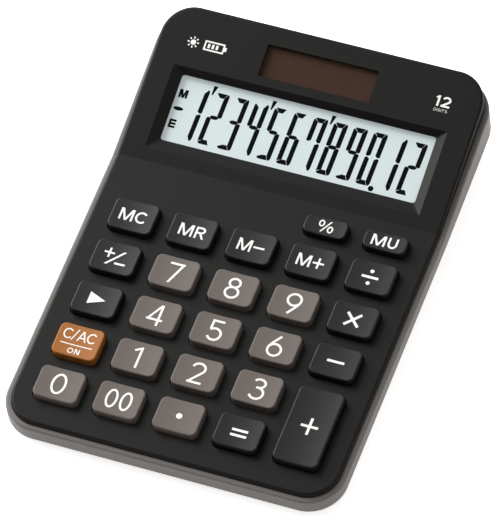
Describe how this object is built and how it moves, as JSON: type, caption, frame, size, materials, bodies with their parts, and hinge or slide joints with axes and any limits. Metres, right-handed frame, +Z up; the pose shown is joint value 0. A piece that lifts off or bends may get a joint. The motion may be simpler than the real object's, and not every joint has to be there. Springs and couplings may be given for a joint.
{
  "type": "desk calculator",
  "caption": "Wedge-shaped desk calculator with a tilted solar and battery powered liquid crystal display and a keypad of separate sprung keys.",
  "frame": {"origin": "on the desk, under the middle of the case's bounding box", "axes": "+X to the user's right, +Y from the keyboard towards the display, +Z up from the desk"},
  "size_m": [0.1064, 0.147, 0.0286],
  "materials": {
    "front_shell": "moulded black ABS, fine satin texture",
    "rear_shell": "moulded taupe ABS, fine satin texture",
    "key_black": "moulded black ABS cap, satin top, white printed legend",
    "key_taupe": "moulded taupe ABS cap, satin top, white printed legend",
    "key_orange": "moulded ochre ABS cap, satin top, white printed legend",
    "clear_lens": "clear polished acrylic",
    "lcd_glass": "reflective liquid crystal cell, pale green grey",
    "white_abs": "natural white ABS",
    "polyimide": "thin amber polyimide film",
    "smoked_acrylic": "clear brown tinted acrylic",
    "amorphous_cell": "amorphous silicon on glass, dark brown",
    "silicone": "translucent grey silicone rubber",
    "circuit_board": "green solder mask over phenolic board",
    "black_epoxy": "black glob-top epoxy",
    "capacitor_sleeve": "shrink sleeve over an aluminium can",
    "zinc_screw": "zinc-plated steel",
    "cell_can": "nickel-plated steel can",
    "plated_spring": "nickel-plated spring steel",
    "wire_insulation": "PVC insulated hook-up wire",
    "foot_rubber": "black moulded rubber"
  },
  "bodies": {
    "case": {"battery_leads": "wire_insulation", "battery_minus_contact": "plated_spring", "battery_plus_contact": "plated_spring", "board_screws": "zinc_screw", "buffer_capacitor": "capacitor_sleeve", "button_cell": "cell_can", "case_screws": "zinc_screw", "controller_blob": "black_epoxy", "display_lens": "clear_lens", "front_case": "front_shell", "holder_screws": "zinc_screw", "key_mat": "silicone", "lcd_cell": "lcd_glass", "lcd_holder": "white_abs", "lcd_ribbon": "polyimide", "main_board": "circuit_board", "rear_case": "rear_shell", "rubber_feet": "foot_rubber", "solar_cell": "amorphous_cell", "solar_leads": "wire_insulation", "solar_window": "smoked_acrylic"},
    "key_0": {"key_0": "key_taupe"},
    "key_00": {"key_00": "key_taupe"},
    "key_1": {"key_1": "key_taupe"},
    "key_2": {"key_2": "key_taupe"},
    "key_3": {"key_3": "key_taupe"},
    "key_4": {"key_4": "key_taupe"},
    "key_5": {"key_5": "key_taupe"},
    "key_6": {"key_6": "key_taupe"},
    "key_7": {"key_7": "key_taupe"},
    "key_8": {"key_8": "key_taupe"},
    "key_9": {"key_9": "key_taupe"},
    "key_backspace": {"key_backspace": "key_black"},
    "key_clear_on": {"key_clear_on": "key_orange"},
    "key_divide": {"key_divide": "key_black"},
    "key_equals": {"key_equals": "key_black"},
    "key_mark_up": {"key_mark_up": "key_black"},
    "key_memory_clear": {"key_memory_clear": "key_black"},
    "key_memory_minus": {"key_memory_minus": "key_black"},
    "key_memory_plus": {"key_memory_plus": "key_black"},
    "key_memory_recall": {"key_memory_recall": "key_black"},
    "key_minus": {"key_minus": "key_black"},
    "key_multiply": {"key_multiply": "key_black"},
    "key_percent": {"key_percent": "key_black"},
    "key_plus": {"key_plus": "key_black"},
    "key_point": {"key_point": "key_taupe"},
    "key_sign": {"key_sign": "key_black"}
  },
  "joints": [
    {"name": "press_0", "type": "slide", "parent": "case", "child": "key_0", "axis": [0, 0.061, -0.9981], "range_m": [0, 0.00115], "stiffness_N_per_m": 450, "springref_m": -0.0006, "deforming": ["key_mat"]},
    {"name": "press_00", "type": "slide", "parent": "case", "child": "key_00", "axis": [0, 0.061, -0.9981], "range_m": [0, 0.00115], "stiffness_N_per_m": 450, "springref_m": -0.0006, "deforming": ["key_mat"]},
    {"name": "press_1", "type": "slide", "parent": "case", "child": "key_1", "axis": [0, 0.061, -0.9981], "range_m": [0, 0.00115], "stiffness_N_per_m": 450, "springref_m": -0.0006, "deforming": ["key_mat"]},
    {"name": "press_2", "type": "slide", "parent": "case", "child": "key_2", "axis": [0, 0.061, -0.9981], "range_m": [0, 0.00115], "stiffness_N_per_m": 450, "springref_m": -0.0006, "deforming": ["key_mat"]},
    {"name": "press_3", "type": "slide", "parent": "case", "child": "key_3", "axis": [0, 0.061, -0.9981], "range_m": [0, 0.00115], "stiffness_N_per_m": 450, "springref_m": -0.0006, "deforming": ["key_mat"]},
    {"name": "press_4", "type": "slide", "parent": "case", "child": "key_4", "axis": [0, 0.061, -0.9981], "range_m": [0, 0.00115], "stiffness_N_per_m": 450, "springref_m": -0.0006, "deforming": ["key_mat"]},
    {"name": "press_5", "type": "slide", "parent": "case", "child": "key_5", "axis": [0, 0.061, -0.9981], "range_m": [0, 0.00115], "stiffness_N_per_m": 450, "springref_m": -0.0006, "deforming": ["key_mat"]},
    {"name": "press_6", "type": "slide", "parent": "case", "child": "key_6", "axis": [0, 0.061, -0.9981], "range_m": [0, 0.00115], "stiffness_N_per_m": 450, "springref_m": -0.0006, "deforming": ["key_mat"]},
    {"name": "press_7", "type": "slide", "parent": "case", "child": "key_7", "axis": [0, 0.061, -0.9981], "range_m": [0, 0.00115], "stiffness_N_per_m": 450, "springref_m": -0.0006, "deforming": ["key_mat"]},
    {"name": "press_8", "type": "slide", "parent": "case", "child": "key_8", "axis": [0, 0.061, -0.9981], "range_m": [0, 0.00115], "stiffness_N_per_m": 450, "springref_m": -0.0006, "deforming": ["key_mat"]},
    {"name": "press_9", "type": "slide", "parent": "case", "child": "key_9", "axis": [0, 0.061, -0.9981], "range_m": [0, 0.00115], "stiffness_N_per_m": 450, "springref_m": -0.0006, "deforming": ["key_mat"]},
    {"name": "press_backspace", "type": "slide", "parent": "case", "child": "key_backspace", "axis": [0, 0.061, -0.9981], "range_m": [0, 0.00115], "stiffness_N_per_m": 450, "springref_m": -0.0006, "deforming": ["key_mat"]},
    {"name": "press_clear_on", "type": "slide", "parent": "case", "child": "key_clear_on", "axis": [0, 0.061, -0.9981], "range_m": [0, 0.00115], "stiffness_N_per_m": 450, "springref_m": -0.0006, "deforming": ["key_mat"]},
    {"name": "press_divide", "type": "slide", "parent": "case", "child": "key_divide", "axis": [0, 0.061, -0.9981], "range_m": [0, 0.00115], "stiffness_N_per_m": 450, "springref_m": -0.0006, "deforming": ["key_mat"]},
    {"name": "press_equals", "type": "slide", "parent": "case", "child": "key_equals", "axis": [0, 0.061, -0.9981], "range_m": [0, 0.00115], "stiffness_N_per_m": 450, "springref_m": -0.0006, "deforming": ["key_mat"]},
    {"name": "press_mark_up", "type": "slide", "parent": "case", "child": "key_mark_up", "axis": [0, 0.061, -0.9981], "range_m": [0, 0.00115], "stiffness_N_per_m": 450, "springref_m": -0.0006, "deforming": ["key_mat"]},
    {"name": "press_memory_clear", "type": "slide", "parent": "case", "child": "key_memory_clear", "axis": [0, 0.061, -0.9981], "range_m": [0, 0.00115], "stiffness_N_per_m": 450, "springref_m": -0.0006, "deforming": ["key_mat"]},
    {"name": "press_memory_minus", "type": "slide", "parent": "case", "child": "key_memory_minus", "axis": [0, 0.061, -0.9981], "range_m": [0, 0.00115], "stiffness_N_per_m": 450, "springref_m": -0.0006, "deforming": ["key_mat"]},
    {"name": "press_memory_plus", "type": "slide", "parent": "case", "child": "key_memory_plus", "axis": [0, 0.061, -0.9981], "range_m": [0, 0.00115], "stiffness_N_per_m": 450, "springref_m": -0.0006, "deforming": ["key_mat"]},
    {"name": "press_memory_recall", "type": "slide", "parent": "case", "child": "key_memory_recall", "axis": [0, 0.061, -0.9981], "range_m": [0, 0.00115], "stiffness_N_per_m": 450, "springref_m": -0.0006, "deforming": ["key_mat"]},
    {"name": "press_minus", "type": "slide", "parent": "case", "child": "key_minus", "axis": [0, 0.061, -0.9981], "range_m": [0, 0.00115], "stiffness_N_per_m": 450, "springref_m": -0.0006, "deforming": ["key_mat"]},
    {"name": "press_multiply", "type": "slide", "parent": "case", "child": "key_multiply", "axis": [0, 0.061, -0.9981], "range_m": [0, 0.00115], "stiffness_N_per_m": 450, "springref_m": -0.0006, "deforming": ["key_mat"]},
    {"name": "press_percent", "type": "slide", "parent": "case", "child": "key_percent", "axis": [0, 0.061, -0.9981], "range_m": [0, 0.00115], "stiffness_N_per_m": 450, "springref_m": -0.0006, "deforming": ["key_mat"]},
    {"name": "press_plus", "type": "slide", "parent": "case", "child": "key_plus", "axis": [0, 0.061, -0.9981], "range_m": [0, 0.00115], "stiffness_N_per_m": 450, "springref_m": -0.0006, "deforming": ["key_mat"]},
    {"name": "press_point", "type": "slide", "parent": "case", "child": "key_point", "axis": [0, 0.061, -0.9981], "range_m": [0, 0.00115], "stiffness_N_per_m": 450, "springref_m": -0.0006, "deforming": ["key_mat"]},
    {"name": "press_sign", "type": "slide", "parent": "case", "child": "key_sign", "axis": [0, 0.061, -0.9981], "range_m": [0, 0.00115], "stiffness_N_per_m": 450, "springref_m": -0.0006, "deforming": ["key_mat"]}
  ]
}
